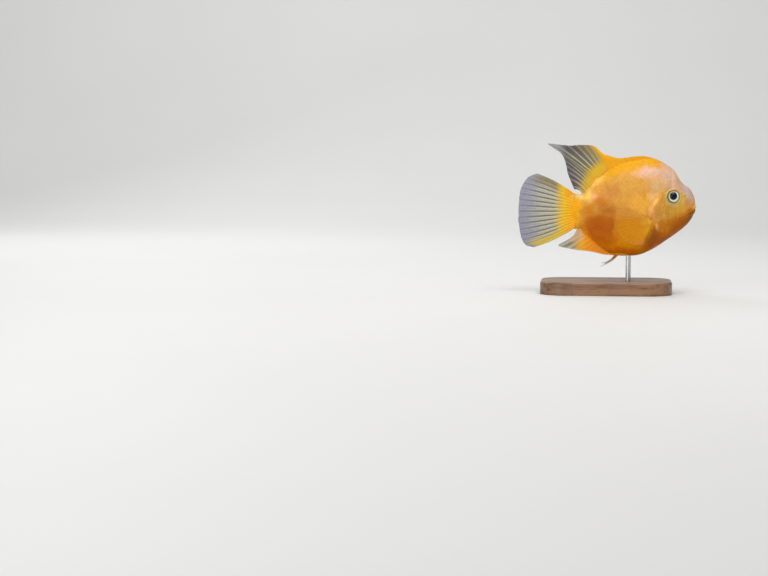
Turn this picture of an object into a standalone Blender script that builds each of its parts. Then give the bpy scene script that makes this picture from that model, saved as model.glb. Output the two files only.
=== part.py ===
"""A blood parrot cichlid at life size, held level on a plain display stand.

X runs from the tail to the snout, Y to the fish's left side and Z up. The origin is the middle of the
stand's underside. Sizes in the tables are millimetres, and heights there count from the body's axis.
"""
import math

import bmesh
import bpy
from mathutils import Matrix, Vector

MM = 0.001
GAP = 0.3 * MM
AXIS_HEIGHT = 78 * MM

# The body, from the snout to the root of the tail: place along it, back, belly, half width.
BODY = (
    (83.6, 4.5, 4.5, 0.0),
    (81.8, 14.6, -3.2, 6.4),
    (77.6, 21.8, -10.2, 9.4),
    (72.6, 25.2, -15.4, 11.4),
    (68.2, 30.6, -19.0, 13.1),
    (63.2, 38.8, -22.8, 14.9),
    (56.5, 43.9, -27.4, 17.0),
    (48.0, 48.6, -33.4, 19.0),
    (39.0, 49.8, -38.4, 20.6),
    (29.5, 48.3, -41.8, 21.6),
    (20.0, 46.6, -42.4, 21.3),
    (10.5, 43.8, -42.2, 20.2),
    (1.5, 38.8, -39.2, 17.8),
    (-6.0, 32.8, -34.2, 15.0),
    (-12.5, 26.4, -28.6, 12.0),
    (-18.5, 20.2, -23.0, 9.0),
    (-24.5, 15.9, -17.6, 6.2),
    (-31.0, 16.9, -17.3, 2.6),
)
RINGS = 42
AROUND = 36
WIDEST_LEVEL = 0.54
BACK_FULLNESS = 1.95
BELLY_FULLNESS = 2.15

# Where head, trunk and tail stalk part: the head ends under the rear edge of the gill cover.
HEAD_BORDER = ((53.5, 60.0), (51.5, 40.0), (49.6, 16.0), (46.0, 8.0), (43.6, 0.0),
               (43.2, -7.0), (48.0, -15.0), (55.5, -21.5), (60.5, -30.0), (62.0, -60.0))
STALK_START = -21.0

# Gill cover, from top to bottom: front edge x, rear edge x, height.
GILL_COVER = ((53.0, 49.5, 14.5), (55.0, 44.8, 8.0), (55.8, 42.2, 1.5), (55.6, 42.6, -5.0),
              (56.2, 45.0, -11.5), (57.8, 48.6, -17.0), (59.8, 55.6, -21.0))
GILL_COVER_THICKNESS = 1.1

EYE_PLACE = (63.0, 14.2)
EYE_RADIUS = 5.9
EYE_HALF_DEPTH = 3.3
EYE_SUNK = 1.1

# The lips are rolls across the snout that sweep back at the corners: middle x, height, radii, tilt.
UPPER_LIP = {"middle": (81.7, 6.3), "radii": (2.9, 7.6, 2.4), "tilt": -18}
LOWER_LIP = {"middle": (80.7, 0.7), "radii": (2.8, 7.0, 2.3), "tilt": 32}
LIP_FULLNESS = 0.6
LIP_SWEEP = 0.042
LIP_DROOP = 0.022
MOUTH_CORNER = (77.0, -1.4)
MOUTH_FRONT = (86.0, 4.2)
MOUTH_GAP = 0.7
NOSTRIL_PLACE = (73.4, 14.6)
NOSTRIL_RADIUS = 0.8
NOSTRIL_DEPTH = 1.3

# Fins. A row of a table is one line from root to edge: root x, edge x, edge height.
MEMBRANE = 0.6
RAY_RISE = 0.42
RAY_TAPER = 0.6
RAY_SHARE = 0.3
DORSAL = ((46.0, 44.6, 50.6), (39.5, 36.5, 52.1), (32.5, 28.0, 52.2), (25.0, 19.0, 51.1), (17.0, 10.5, 50.4),
          (11.0, 2.5, 52.7), (6.5, -4.5, 55.4), (2.5, -11.5, 61.6), (-1.5, -22.0, 63.3), (-4.7, -36.0, 62.6),
          (-7.8, -56.5, 64.4), (-10.6, -44.5, 55.5), (-13.8, -39.4, 45.0), (-17.6, -36.6, 33.5),
          (-22.5, -31.0, 20.5))
DORSAL_RAYS = 27
DORSAL_BOW = 2.0
DORSAL_SHEATH = 1.3
ANAL = ((5.5, 3.5, -41.9), (1.5, -3.5, -41.4), (-3.0, -10.5, -39.8), (-7.5, -18.5, -38.6), (-11.5, -27.0, -37.9),
        (-15.5, -36.0, -36.3), (-19.0, -45.8, -33.4), (-22.0, -38.0, -28.8), (-24.5, -31.8, -24.6),
        (-27.0, -29.0, -20.2))
ANAL_RAYS = 13
ANAL_SHEATH = 1.0
TAIL_EDGE = ((-66.9, 35.6), (-75.5, 31.8), (-80.9, 24.0), (-83.7, 14.5), (-84.9, 4.5), (-84.8, -6.0),
             (-83.7, -16.5), (-81.5, -26.0), (-77.5, -33.0), (-70.5, -35.6))
TAIL_RAYS = 18
TAIL_BOW = 2.0
TAIL_SWEEP = 3.0
PECTORAL_ROOT = ((39.9, -5.6), (41.9, -12.4))
PECTORAL_EDGE = ((11.5, 4.0), (6.8, -4.5), (6.5, -13.5), (10.5, -22.0), (17.5, -28.5), (25.5, -32.0),
                 (34.0, -31.0))
PECTORAL_RAYS = 13
PECTORAL_RISE = 4.2
PECTORAL_RISE_LENGTH = 8.0
PECTORAL_FLARE = 0.07
PELVIC_FRONT = ((12.4, -42.9), (4.6, -48.2), (-6.3, -53.5))
PELVIC_REAR = ((8.0, -42.5), (3.0, -46.9), (-4.4, -49.0))
PELVIC_NOTCH = 0.42
PELVIC_OFFSET = 4.0
PELVIC_SPLAY = 1.8
PELVIC_RAYS = 5

# The stand: a wooden base with round corners and one steel rod up to the belly.
BASE_LENGTH = 0.124
BASE_WIDTH = 0.08
BASE_THICKNESS = 0.012
BASE_CORNER = 0.024
BASE_EDGE = 0.0016
ROD_PLACE = 0.021
ROD_RADIUS = 0.0025


def spline(rows, place):
    """The smooth curve through rows at place, which counts rows from 0. Each row is a tuple."""
    first = min(int(place), len(rows) - 2)
    t = place - first
    a = rows[max(first - 1, 0)]
    b = rows[first]
    c = rows[first + 1]
    d = rows[min(first + 2, len(rows) - 1)]
    return [0.5 * (2 * q + (r - p) * t + (2 * p - 5 * q + 4 * r - s) * t ** 2 + (3 * q - p - 3 * r + s) * t ** 3)
            for p, q, r, s in zip(a, b, c, d)]


def along(rows, share):
    """The smooth curve through rows, at a share of 0 to 1 of its rows."""
    return spline(rows, share * (len(rows) - 1))


def body_at(place):
    """Place x, back, belly and half width of the body's section. The snout's tip rounds over."""
    x, back, belly, half = BODY[1]
    rows = ((x, belly, back, -half),) + BODY
    return spline(rows, place + 1)


def body_at_x(x):
    """The same for a place x between the snout's tip and the end of the tail stalk."""
    low, high = 0.0, len(BODY) - 1.0
    for _ in range(40):
        middle = (low + high) / 2
        if body_at(middle)[0] > x:
            low = middle
        else:
            high = middle
    return body_at(low)


def widest(back, belly):
    """Height at which a section is widest."""
    return belly + WIDEST_LEVEL * (back - belly)


def flank(x, z):
    """Distance of the skin from the middle plane at a place x and a height z."""
    _, back, belly, half = body_at_x(x)
    level = widest(back, belly)
    reach, fullness = (back - level, BACK_FULLNESS) if z > level else (level - belly, BELLY_FULLNESS)
    share = min(abs(z - level) / reach, 0.999)
    return half * (1 - share ** fullness) ** (1 / fullness)


def under(x, y):
    """Height of the belly's skin at a place x and a distance y from the middle plane."""
    _, back, belly, half = body_at_x(x)
    level = widest(back, belly)
    return level - (level - belly) * (1 - (abs(y) / half) ** BELLY_FULLNESS) ** (1 / BELLY_FULLNESS)


def outward(x, z):
    """The skin's outward direction on the left flank."""
    step = 0.4
    slope_x = (flank(x + step, z) - flank(x - step, z)) / (2 * step)
    slope_z = (flank(x, z + step) - flank(x, z - step)) / (2 * step)
    return Vector((-slope_x, 1, -slope_z)).normalized()


def placed(x, y, z):
    """A point of the fish in metres, with its height counted from the floor."""
    return Vector((x * MM, y * MM, z * MM + AXIS_HEIGHT))


def material(name, colour, roughness, metallic=0.0):
    made = bpy.data.materials.new(name)
    made.use_nodes = True
    shader = made.node_tree.nodes["Principled BSDF"]
    shader.inputs["Base Color"].default_value = (*colour, 1)
    shader.inputs["Roughness"].default_value = roughness
    shader.inputs["Metallic"].default_value = metallic
    return made


def finished(name, mesh, collection, look=None):
    """The bmesh as a smooth shaded object in its collection."""
    bmesh.ops.recalc_face_normals(mesh, faces=mesh.faces[:])
    data = bpy.data.meshes.new(name)
    mesh.to_mesh(data)
    mesh.free()
    data.shade_smooth()
    data.set_sharp_from_angle(angle=math.radians(40))
    made = bpy.data.objects.new(name, data)
    collection.objects.link(made)
    if look:
        data.materials.append(look)
    else:
        made.hide_render = True
        made.display_type = "WIRE"
    return made


def cut(target, cutter, operation="DIFFERENCE"):
    modifier = target.modifiers.new(cutter.name, "BOOLEAN")
    modifier.operation = operation
    modifier.object = cutter
    modifier.solver = "EXACT"


def sheet(name, columns, rows, place, collection, look=None):
    """A closed sheet, split alike on both faces. place(column, row, side) gives each point, side -1 or 1."""
    mesh = bmesh.new()
    bmesh.ops.create_grid(mesh, x_segments=columns, y_segments=rows, size=0.5)
    bmesh.ops.triangulate(mesh, faces=mesh.faces[:])
    far = bmesh.ops.extrude_face_region(mesh, geom=mesh.faces[:])["geom"]
    far_points = {item for item in far if isinstance(item, bmesh.types.BMVert)}
    for vert in mesh.verts:
        column = round((vert.co.x + 0.5) * columns)
        row = round((vert.co.y + 0.5) * rows)
        vert.co = place(column, row, 1 if vert in far_points else -1)
    return finished(name, mesh, collection, look)


def ray_columns(rays):
    """The columns of a fin with rays: share of the way across it, and how far the ray rises there."""
    columns = [(0.0, 0.0)]
    for ray in range(rays):
        middle = (ray + 0.5) / rays
        foot = RAY_SHARE / rays
        columns += [(middle - foot, 0.0), (middle, 1.0), (middle + foot, 0.0)]
    return columns + [(1.0, 0.0)]


def fin(name, rays, rows, line, side_point, collection, look, sheath=0.0):
    """A fin of membrane and rays. line(across, out) is its middle surface, and side_point moves off it."""
    columns = ray_columns(rays)

    def place(column, row, side):
        across, rise = columns[column]
        out = row / rows
        half = MEMBRANE / 2 + rise * RAY_RISE * (1 - RAY_TAPER * out) + sheath * (1 - out) ** 3
        return side_point(line(across, out), side * half)

    return sheet(name, len(columns) - 1, rows, place, collection, look)


def beside(point, half):
    """Off the middle surface of a fin that stands in the fish's middle plane."""
    return placed(point[0], point[1] + half, point[2])


def make_body(name, collection, look=None):
    """The whole body as one form, with rings from the snout to the flat end of the tail stalk."""
    mesh = bmesh.new()
    bmesh.ops.create_uvsphere(mesh, u_segments=AROUND, v_segments=RINGS, radius=1)
    last = len(BODY) - 1
    for vert in mesh.verts:
        ring = round(math.acos(max(-1, min(1, vert.co.z))) * RINGS / math.pi)
        angle = math.atan2(vert.co.y, vert.co.x)
        x, back, belly, half = body_at(min(ring / (RINGS - 1), 1) * last)
        level = widest(back, belly)
        if ring in (0, RINGS):
            vert.co = placed(x, 0, level)
            continue
        reach, fullness = (back - level, BACK_FULLNESS) if math.sin(angle) > 0 else (level - belly, BELLY_FULLNESS)
        across = math.copysign(abs(math.cos(angle)) ** (2 / fullness), math.cos(angle))
        upward = math.copysign(abs(math.sin(angle)) ** (2 / fullness), math.sin(angle))
        vert.co = placed(x, half * across, level + reach * upward)
    return finished(name, mesh, collection, look)


def block(name, rear, front, collection):
    """A block across the fish between two places x. rear may be a border that bends with the height."""
    low, high, slices = -60.0, 60.0, 40

    def place(column, row, side):
        height = high + (low - high) * row / slices
        if column:
            return placed(front, side * 40, height)
        return placed(rear(height), side * 40, height)

    return sheet(name, 1, slices, place, collection)


def head_border(height):
    """Place x of the border between head and trunk at a height, found along its smooth curve."""
    low, high = 0.0, 1.0
    for _ in range(40):
        middle = (low + high) / 2
        if along(HEAD_BORDER, middle)[1] > height:
            low = middle
        else:
            high = middle
    return along(HEAD_BORDER, low)[0]


def ball(name, matrix, segments, rings, collection, look=None):
    mesh = bmesh.new()
    bmesh.ops.create_uvsphere(mesh, u_segments=segments, v_segments=rings, radius=1, matrix=matrix)
    return finished(name, mesh, collection, look)


def facing(x, z, side, sunk):
    """A frame on the skin whose Z axis points straight out, sunk below the skin."""
    out = outward(x, z)
    middle = Vector((x, flank(x, z), z)) - out * sunk
    out.y *= side
    turn = out.to_track_quat("Z", "Y").to_matrix().to_4x4()
    return Matrix.Translation(placed(middle.x, side * middle.y, middle.z)) @ turn


def make_eye(name, side, grow, collection, look=None):
    """An eyeball flattened along its line of sight, or the socket around it where grow is more than 0."""
    radius = EYE_RADIUS * MM + grow
    depth = EYE_HALF_DEPTH * MM + grow
    matrix = facing(*EYE_PLACE, side, EYE_SUNK) @ Matrix.Diagonal((radius, radius, depth, 1))
    return ball(name, matrix, 20, 12, collection, look)


def make_nostril(name, side, collection):
    size = Matrix.Diagonal((NOSTRIL_RADIUS * MM, NOSTRIL_RADIUS * MM, NOSTRIL_DEPTH * MM, 1))
    return ball(name, facing(*NOSTRIL_PLACE, side, 0) @ size, 10, 6, collection)


def make_lip(name, lip, collection):
    """A roll across the snout whose ends sweep back round it."""
    mesh = bmesh.new()
    bmesh.ops.create_uvsphere(mesh, u_segments=12, v_segments=14, radius=1)
    turn = Matrix.Rotation(math.radians(lip["tilt"]), 3, "Y")
    for vert in mesh.verts:
        across = vert.co.z * lip["radii"][1]
        swell = max(1 - vert.co.z ** 2, 0.001) ** ((LIP_FULLNESS - 1) / 2)
        roll = turn @ Vector((vert.co.x * lip["radii"][0], 0, vert.co.y * lip["radii"][2])) * swell
        x = lip["middle"][0] + roll.x - LIP_SWEEP * across ** 2
        z = lip["middle"][1] + roll.z - LIP_DROOP * across ** 2
        vert.co = placed(x, across, z)
    return finished(name, mesh, collection)


def make_mouth_line(collection):
    """The closed mouth's line, a thin wedge that runs back and down to the corners of the mouth."""
    rows, width = 10, 17

    def place(column, row, side):
        x, z = MOUTH_FRONT if column else MOUTH_CORNER
        half = MOUTH_GAP / 2 if column else MOUTH_GAP / 4
        across = (row / rows - 0.5) * width
        return placed(x - LIP_SWEEP * across ** 2, across, z + side * half - LIP_DROOP * across ** 2)

    return sheet("mouth_line", 1, rows, place, collection)


def make_gill_cover(name, side_of_fish, collection, look):
    """A thin flap over the gill chamber, thin at its front edge and free along its rear edge."""
    columns, rows = 8, 14

    def place(column, row, side):
        front, rear, z = along(GILL_COVER, row / rows)
        share = column / columns
        x = front + (rear - front) * share
        half = GILL_COVER_THICKNESS / 2 * (0.5 + 0.5 * math.sin(math.pi / 2 * share))
        point = Vector((x, flank(x, z), z)) + outward(x, z) * (0.32 + half * (1 + side))
        return placed(point.x, side_of_fish * point.y, point.z)

    return sheet(name, columns, rows, place, collection, look)


def dorsal_line(across, out):
    root_x, edge_x, edge_z = along(DORSAL, across)
    root_z = body_at_x(root_x)[1] + GAP / MM
    lean = 1.6 * math.sin(math.pi * across) * across * out ** 2
    run, climb = edge_x - root_x, edge_z - root_z
    bow = DORSAL_BOW * across ** 2 * 4 * out * (1 - out) / math.hypot(run, climb)
    return (root_x + run * out + climb * bow, lean, root_z + climb * out - run * bow)


def anal_line(across, out):
    root_x, edge_x, edge_z = along(ANAL, across)
    root_z = body_at_x(root_x)[2] - GAP / MM
    lean = 1.2 * math.sin(math.pi * across) * out ** 2
    return (root_x + (edge_x - root_x) * out, lean, root_z + (edge_z - root_z) * out)


def tail_line(across, out):
    edge_x, edge_z = along(TAIL_EDGE, across)
    end_x, back, belly, _ = BODY[-1]
    root_x = end_x - GAP / MM
    root_z = back - 0.8 + (belly - back + 1.6) * across
    bow = TAIL_BOW * (1 - 2 * across) * 4 * out * (1 - out)
    sweep = TAIL_SWEEP * out ** 2 * (0.7 + 0.3 * math.cos(2 * math.pi * across))
    return (root_x + (edge_x - root_x) * out, sweep, root_z + (edge_z - root_z) * out + bow)


def pectoral_line(across, out):
    (top_x, top_z), (low_x, low_z) = PECTORAL_ROOT
    root_x = top_x + (low_x - top_x) * across
    root_z = top_z + (low_z - top_z) * across
    edge_x, edge_z = along(PECTORAL_EDGE, across)
    x = root_x + (edge_x - root_x) * out
    z = root_z + (edge_z - root_z) * out
    reach = math.hypot(x - root_x, z - root_z)
    rise = PECTORAL_RISE * (1 - math.exp(-reach / PECTORAL_RISE_LENGTH)) + PECTORAL_FLARE * reach
    start = flank(root_x, root_z) + GAP / MM + MEMBRANE / 2 + RAY_RISE + 0.1
    return (x, start + rise, z)


def pelvic_line(across, out):
    """The folded fin is a narrow strand with a notch between its first ray and its last."""
    reach = out * (1 - PELVIC_NOTCH * math.sin(math.pi * across) * out ** 2)
    front = along(PELVIC_FRONT, reach)
    rear = along(PELVIC_REAR, reach)
    x = front[0] + (rear[0] - front[0]) * across
    z = front[1] + (rear[1] - front[1]) * across
    y = PELVIC_OFFSET + PELVIC_SPLAY * out
    if out == 0:
        z = under(x, y - 1) - GAP / MM
    return (x, y, z)


def on_side(side):
    """Off the middle surface of a paired fin, on the fish's left for 1 and right for -1."""
    return lambda point, half: placed(point[0], side * (point[1] + half), point[2])


def make_base(collection, look):
    mesh = bmesh.new()
    size = Matrix.Diagonal((BASE_LENGTH, BASE_WIDTH, BASE_THICKNESS, 1))
    middle = Matrix.Translation((0, 0, BASE_THICKNESS / 2))
    bmesh.ops.create_cube(mesh, size=1, matrix=middle @ size)
    corners = [edge for edge in mesh.edges if edge.verts[0].co.xy == edge.verts[1].co.xy]
    bmesh.ops.bevel(mesh, geom=corners, offset=BASE_CORNER, segments=10, profile=0.5, affect="EDGES", material=-1)
    rim = [edge for edge in mesh.edges if all(vert.co.z > BASE_THICKNESS / 2 for vert in edge.verts)]
    bmesh.ops.bevel(mesh, geom=rim, offset=BASE_EDGE, segments=2, profile=0.5, affect="EDGES", material=-1)
    return finished("stand_base", mesh, collection, look)


def make_rod(collection, look):
    low = BASE_THICKNESS + GAP
    high = placed(0, 0, body_at_x(ROD_PLACE / MM)[2]).z - GAP
    mesh = bmesh.new()
    middle = Matrix.Translation((ROD_PLACE, 0, (low + high) / 2))
    bmesh.ops.create_cone(
        mesh, cap_ends=True, segments=24, radius1=ROD_RADIUS, radius2=ROD_RADIUS, depth=high - low, matrix=middle
    )
    return finished("stand_rod", mesh, collection, look)


def make_collection(name):
    made = bpy.data.collections.new(name)
    bpy.context.scene.collection.children.link(made)
    return made


def build():
    for old in list(bpy.data.objects):
        bpy.data.objects.remove(old)
    parts = make_collection("blood_parrot_cichlid")
    cutters = make_collection("cutters")
    skin = material("orange_skin", (0.78, 0.36, 0.06), 0.38)
    cheek = material("ochre_cheek", (0.62, 0.30, 0.07), 0.38)
    yellow = material("yellow_stalk", (0.86, 0.45, 0.05), 0.38)
    fin_look = material("pale_fin", (0.52, 0.46, 0.36), 0.35)
    eye_look = material("eye", (0.55, 0.52, 0.38), 0.1)
    wood = material("walnut", (0.20, 0.10, 0.05), 0.4)
    steel = material("brushed_steel", (0.6, 0.6, 0.6), 0.3, 1.0)

    gap = GAP / MM
    head = make_body("head", parts, cheek)
    trunk = make_body("trunk", parts, skin)
    stalk = make_body("tail_stalk", parts, yellow)
    cut(head, block("front_of_border", head_border, 100, cutters), "INTERSECT")
    cut(trunk, block("front_of_trunk", lambda z: head_border(z) - 1.3 * gap, 100, cutters))
    cut(trunk, block("rear_of_trunk", lambda z: -60, STALK_START, cutters))
    cut(stalk, block("front_of_stalk", lambda z: STALK_START - gap, 100, cutters))

    for name, lip in (("upper_lip", UPPER_LIP), ("lower_lip", LOWER_LIP)):
        cut(head, make_lip(name, lip, cutters), "UNION")
    cut(head, make_mouth_line(cutters))
    for side, word in ((1, "left"), (-1, "right")):
        cut(head, make_nostril("nostril_" + word, side, cutters))
        cut(head, make_eye("socket_" + word, side, GAP, cutters))
        make_eye("eye_" + word, side, 0, parts, eye_look)
        make_gill_cover("gill_cover_" + word, side, parts, cheek)
        fin("pectoral_fin_" + word, PECTORAL_RAYS, 6, pectoral_line, on_side(side), parts, fin_look)
        fin("pelvic_fin_" + word, PELVIC_RAYS, 5, pelvic_line, on_side(side), parts, fin_look)

    fin("dorsal_fin", DORSAL_RAYS, 5, dorsal_line, beside, parts, fin_look, DORSAL_SHEATH)
    fin("anal_fin", ANAL_RAYS, 5, anal_line, beside, parts, fin_look, ANAL_SHEATH)
    fin("tail_fin", TAIL_RAYS, 7, tail_line, beside, parts, fin_look, ANAL_SHEATH)
    make_base(parts, wood)
    make_rod(parts, steel)


build()
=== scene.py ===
import math
import random

import bmesh
import bpy
import numpy as np
from mathutils import Matrix, Vector
from mathutils.bvhtree import BVHTree


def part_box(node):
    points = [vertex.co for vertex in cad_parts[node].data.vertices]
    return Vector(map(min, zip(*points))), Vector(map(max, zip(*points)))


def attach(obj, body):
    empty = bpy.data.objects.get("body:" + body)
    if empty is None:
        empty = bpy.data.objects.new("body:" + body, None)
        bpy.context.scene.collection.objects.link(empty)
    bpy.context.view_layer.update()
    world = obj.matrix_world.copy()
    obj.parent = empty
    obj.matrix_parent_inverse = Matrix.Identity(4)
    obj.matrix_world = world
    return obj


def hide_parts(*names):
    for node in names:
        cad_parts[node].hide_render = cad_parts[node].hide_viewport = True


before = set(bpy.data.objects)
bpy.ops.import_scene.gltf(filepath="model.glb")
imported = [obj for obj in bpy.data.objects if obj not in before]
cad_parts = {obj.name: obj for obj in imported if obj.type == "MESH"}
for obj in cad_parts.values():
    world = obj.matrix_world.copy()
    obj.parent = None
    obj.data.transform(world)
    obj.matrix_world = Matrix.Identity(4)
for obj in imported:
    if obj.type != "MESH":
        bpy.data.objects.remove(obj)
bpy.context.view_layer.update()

# The view. The camera looks straight at the fish's right side from a little above its axis, with a long
# lens, and is turned left and down, so that the fish swims where it does in the photograph.
AXIS_HEIGHT = 0.078
LENS = 85
SENSOR = 36
FRAME_WIDTH_PX = 768
METRES_PER_PX = 0.00096
RISE = math.radians(2)
AIM_LEFT = 0.2134
AIM_DOWN = 0.0756


def new_object(name, data):
    made = bpy.data.objects.new(name, data)
    bpy.context.scene.collection.objects.link(made)
    return made


camera_data = bpy.data.cameras.new("camera")
camera_data.lens = LENS
camera_data.sensor_width = SENSOR
camera = new_object("camera", camera_data)
camera_distance = LENS / SENSOR * FRAME_WIDTH_PX * METRES_PER_PX
camera.location = (0, -camera_distance * math.cos(RISE), AXIS_HEIGHT + camera_distance * math.sin(RISE))
camera_aim = Vector((-AIM_LEFT, 0, AXIS_HEIGHT - AIM_DOWN))
camera.rotation_euler = (camera_aim - camera.location).to_track_quat("-Z", "Y").to_euler()
bpy.context.scene.camera = camera
bpy.context.scene.view_settings.view_transform = "Standard"

# The skin: one smooth hide over head, gill covers, trunk and tail stalk. It is laid over the body's
# sections, and the lips, the mouth's line, nostrils, eye sockets, pores and gill covers are raised or
# sunk in it. Heights count from the body's axis and all sizes here are millimetres.
MM = 0.001
BODY = (
    (83.6, 4.5, 4.5, 0.0),
    (81.8, 14.6, -3.2, 6.4),
    (77.6, 21.8, -10.2, 9.4),
    (72.6, 25.2, -15.4, 11.4),
    (68.2, 30.6, -19.0, 13.1),
    (63.2, 38.8, -22.8, 14.9),
    (56.5, 43.9, -27.4, 17.0),
    (48.0, 48.6, -33.4, 19.0),
    (39.0, 49.8, -38.4, 20.6),
    (29.5, 48.3, -41.8, 21.6),
    (20.0, 46.6, -42.4, 21.3),
    (10.5, 43.8, -42.2, 20.2),
    (1.5, 38.8, -39.2, 17.8),
    (-6.0, 32.8, -34.2, 15.0),
    (-12.5, 26.4, -28.6, 12.0),
    (-18.5, 20.2, -23.0, 9.0),
    (-24.5, 15.9, -17.6, 6.2),
    (-31.0, 16.9, -17.3, 2.6),
    (-36.0, 15.0, -15.5, 1.3),
    (-39.0, 12.6, -13.1, 0.4),
)
SKIN_RINGS = 336
SKIN_AROUND = 232
BODY_SAMPLES = 2000
WIDEST_LEVEL = 0.54
BACK_FULLNESS = 1.95
BELLY_FULLNESS = 2.15
COAT_DEPTH = 0.32
EYE_PLACE = (62.6, 14.1)
NOSTRIL_PLACE = (73.4, 14.6)
GILL_COVER = ((53.0, 49.5, 14.5), (55.0, 44.8, 8.0), (55.8, 42.2, 1.5), (55.6, 42.6, -5.0),
              (56.2, 45.0, -11.5), (57.8, 48.6, -17.0), (59.8, 55.6, -21.0))
CHEEK_FOLD = ((58.6, 10.0), (58.0, 2.0), (59.0, -6.5), (62.5, -11.8), (69.0, -13.6))
JAW_FOLD = ((78.2, -1.0), (76.4, -2.6), (74.6, -5.0))
LIP_DROOP = 0.022
MOUTH_SLOPE = 0.622
MOUTH_FRONT = (86.0, 4.2)
GILL_RISE = 1.1
GILL_LATENESS = 1.3
CHEEK_SWELL_PLACE = (66.5, -4.0)
SOCKET_DEPTH = 2.4
SOCKET_RADII = (6.2, 6.9, 8.6)
PORE_RADIUS = 10.2
PORE_TURNS = range(195, 350, 25)

# Heights and widths of the ridges and grooves in the hide.
GILL_GROOVE = (0.4, 1.3)
CHEEK_GROOVE = (0.32, 0.85)
CHEEK_SWELL = (0.35, 5.5)
JAW_GROOVE = (0.3, 0.8)
SOCKET_RIM = (0.42, 0.85)
SOCKET_GROOVE = (0.18, 0.6)
NOSTRIL_RIM = (0.3, 0.45)
NOSTRIL_HOLE = (1.3, 0.62)
PORE = (0.4, 0.42)
LIPS = ((2.2, 0.8, 1.5), (-2.2, 0.5, 1.4))
LIP_GROOVES = ((5.2, 0.3, 1.1), (-4.8, 0.2, 1.0))
MOUTH_GROOVE = (1.35, 0.4)


def spline(rows, place):
    """The smooth curve through rows at place, which counts rows from 0."""
    first = min(int(place), len(rows) - 2)
    t = place - first
    a = rows[max(first - 1, 0)]
    b = rows[first]
    c = rows[first + 1]
    d = rows[min(first + 2, len(rows) - 1)]
    smooth = []
    for p, q, r, s in zip(a, b, c, d):
        bend = 2 * p - 5 * q + 4 * r - s
        twist = 3 * q - p - 3 * r + s
        smooth.append(0.5 * (2 * q + (r - p) * t + bend * t ** 2 + twist * t ** 3))
    return smooth


def along(rows, share):
    return spline(rows, share * (len(rows) - 1))


def body_at(place):
    """Place x, back, belly and half width of a section. The snout's tip rounds over."""
    x, back, belly, half = BODY[1]
    return spline(((x, belly, back, -half),) + BODY, place + 1)


body_places = np.linspace(len(BODY) - 1, 0, BODY_SAMPLES)
body_samples = np.array([body_at(place) for place in body_places])


def body_at_x(x):
    return [float(np.interp(x, body_samples[:, 0], body_samples[:, column])) for column in (1, 2, 3)]


def widest(back, belly):
    return belly + WIDEST_LEVEL * (back - belly)


def half_form(back, belly, level, upper):
    """How far the body reaches above or below its widest level, and how full it is there."""
    return (back - level, BACK_FULLNESS) if upper else (level - belly, BELLY_FULLNESS)


def flank(x, z):
    """Distance of the body's side from the middle plane at a place x and a height z."""
    back, belly, half = body_at_x(x)
    level = widest(back, belly)
    reach, fullness = half_form(back, belly, level, z > level)
    share = min(abs(z - level) / reach, 0.999)
    return half * (1 - share ** fullness) ** (1 / fullness)


def placed(x, y, z):
    """A point of the fish in metres, with its height counted from the floor."""
    return Vector((x * MM, y * MM, z * MM + AXIS_HEIGHT))


def around_body(place, angle):
    """The point of the body's surface at a place along it and an angle round it."""
    x, back, belly, half = body_at(place)
    level = widest(back, belly)
    reach, fullness = half_form(back, belly, level, math.sin(angle) > 0)
    across = math.copysign(abs(math.cos(angle)) ** (2 / fullness), math.cos(angle))
    upward = math.copysign(abs(math.sin(angle)) ** (2 / fullness), math.sin(angle))
    return placed(x, half * across, level + reach * upward)


def ridge(distance, height, width):
    return height * np.exp(-(distance / width) ** 2)


def ease(share):
    share = np.clip(share, 0, 1)
    return share * share * (3 - 2 * share)


def line_distance(path, x, z):
    """Distance of the points x, z from a path of straight stretches."""
    nearest = np.full(x.shape, 1e3)
    for (ax, az), (bx, bz) in zip(path, path[1:]):
        length = (bx - ax) ** 2 + (bz - az) ** 2
        share = np.clip(((x - ax) * (bx - ax) + (z - az) * (bz - az)) / length, 0, 1)
        nearest = np.minimum(nearest, np.hypot(x - ax - share * (bx - ax), z - az - share * (bz - az)))
    return nearest


gill_lines = np.array([along(GILL_COVER, share) for share in np.linspace(1, 0, 400)])


def gill_shares(x, z):
    """How far back on the gill cover a point lies, 1 at its free edge, its distance behind that edge, and
    how full the cover is at that height."""
    front = np.interp(z, gill_lines[:, 2], gill_lines[:, 0])
    rear = np.interp(z, gill_lines[:, 2], gill_lines[:, 1])
    full = ease((z + 21.5) / 5) * ease((15 - z) / 6)
    return (front - x) / (front - rear), rear - x, full


def lip_height(x, y, z):
    """Height over the surface in which the lips meet."""
    return z - (MOUTH_FRONT[1] - (MOUTH_FRONT[0] - x) * MOUTH_SLOPE - LIP_DROOP * y ** 2)


def scaled_share(x, z):
    """1 where the hide carries scales and 0 on the bare snout, jaws and throat."""
    nape = ease((62.5 - x) / 4)
    cheek = ease((67.5 - x) / 3) * ease((z + 19) / 4)
    return np.where(z > 12, nape, cheek)


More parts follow.
